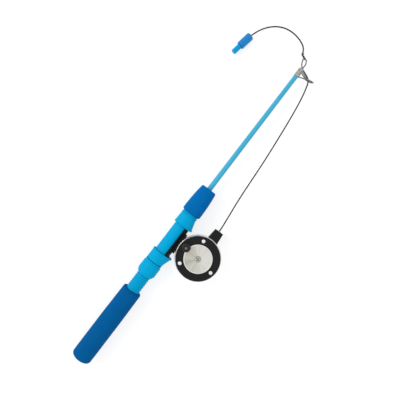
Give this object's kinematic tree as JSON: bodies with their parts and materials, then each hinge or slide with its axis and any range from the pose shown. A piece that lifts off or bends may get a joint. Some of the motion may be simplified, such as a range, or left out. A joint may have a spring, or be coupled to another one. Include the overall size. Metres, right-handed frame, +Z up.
{
  "type": "ice fishing rod",
  "caption": "Short foam-gripped ice fishing rod with a screw-down reel seat, a centre-spindle crank reel, line through a tip guide, and a leader.",
  "frame": {"origin": "under the middle of the rod and reel, on the surface that they lie on", "axes": "+X along the rod from the butt to the tip, -Y towards the reel, +Z up out of the reel's crank side"},
  "size_m": [0.4709, 0.1488, 0.0318],
  "materials": {
    "grip_foam": "matt closed-cell EVA foam",
    "front_grip_foam": "matt closed-cell EVA foam",
    "seat_abs": "moulded ABS",
    "blank_enamel": "enamelled solid glass fibre",
    "tip_steel": "drawn stainless wire and tube",
    "tip_ceramic": "polished black ceramic",
    "black_plastic": "moulded nylon",
    "drum_aluminium": "anodised",
    "cap_aluminium": "spun and brushed",
    "screw_steel": "zinc plated",
    "rivet_aluminium": "satin",
    "bush_brass": "sintered",
    "line_braid": "coated braid",
    "swivel_steel": "blackened steel",
    "sleeve_plastic": "moulded, glossy",
    "stem_plastic": "moulded, glossy"
  },
  "bodies": {
    "rod": {"butt_grip": "grip_foam", "reel_seat": "seat_abs", "front_hood": "seat_abs", "trim_ring": "seat_abs", "foregrip": "front_grip_foam", "blank_arbors": "seat_abs", "blank": "blank_enamel", "tip_tube": "tip_steel", "tip_frame": "tip_steel", "tip_ring": "tip_ceramic", "reel_foot": "black_plastic", "foot_screws": "screw_steel", "reel_drum": "drum_aluminium", "line_guide": "black_plastic", "guide_eyelet": "screw_steel", "spindle": "screw_steel", "spindle_nut": "screw_steel", "spindle_washer": "screw_steel", "spindle_screw": "screw_steel", "click_spring": "screw_steel", "click_screw": "screw_steel", "line_inner": "line_braid", "line_main": "line_braid", "line_knot": "line_braid", "snap_wire": "swivel_steel", "swivel_barrel": "swivel_steel", "swivel_eyes": "swivel_steel", "leader_knot": "line_braid", "leader": "line_braid", "end_sleeve": "sleeve_plastic", "end_stem": "stem_plastic"},
    "hood": {"sliding_hood": "seat_abs"},
    "nut": {"lock_nut": "seat_abs"},
    "spool": {"spool_body": "drum_aluminium", "spool_bushes": "bush_brass", "wound_line": "line_braid", "crank_plate": "black_plastic", "spool_rivets": "rivet_aluminium", "spool_cap": "cap_aluminium", "click_gear": "black_plastic", "knob_washer": "screw_steel", "knob_pin": "screw_steel"},
    "knob": {"crank_knob": "black_plastic"}
  },
  "joints": [
    {"name": "hood_slide", "type": "slide", "parent": "rod", "child": "hood", "axis": [1, 0, 0], "range_m": [-0.0198, 0]},
    {"name": "nut_turn", "type": "hinge", "parent": "hood", "child": "nut", "pos_m": [-0.08295, 0.02725, 0.0126], "axis": [1, 0, 0], "range_deg": [-2160, 0]},
    {"name": "spool_spin", "type": "hinge", "parent": "rod", "child": "spool", "pos_m": [-0.03765, -0.01185, 0.0126], "axis": [0, 0, 1], "continuous": true},
    {"name": "knob_spin", "type": "hinge", "parent": "spool", "child": "knob", "pos_m": [-0.03496, 0.00726, 0.026], "axis": [0, 0, 1], "continuous": true}
  ],
  "couplings": [
    {"joint": "nut_turn", "follows": "hood_slide", "rad_per_m": 1904}
  ]
}
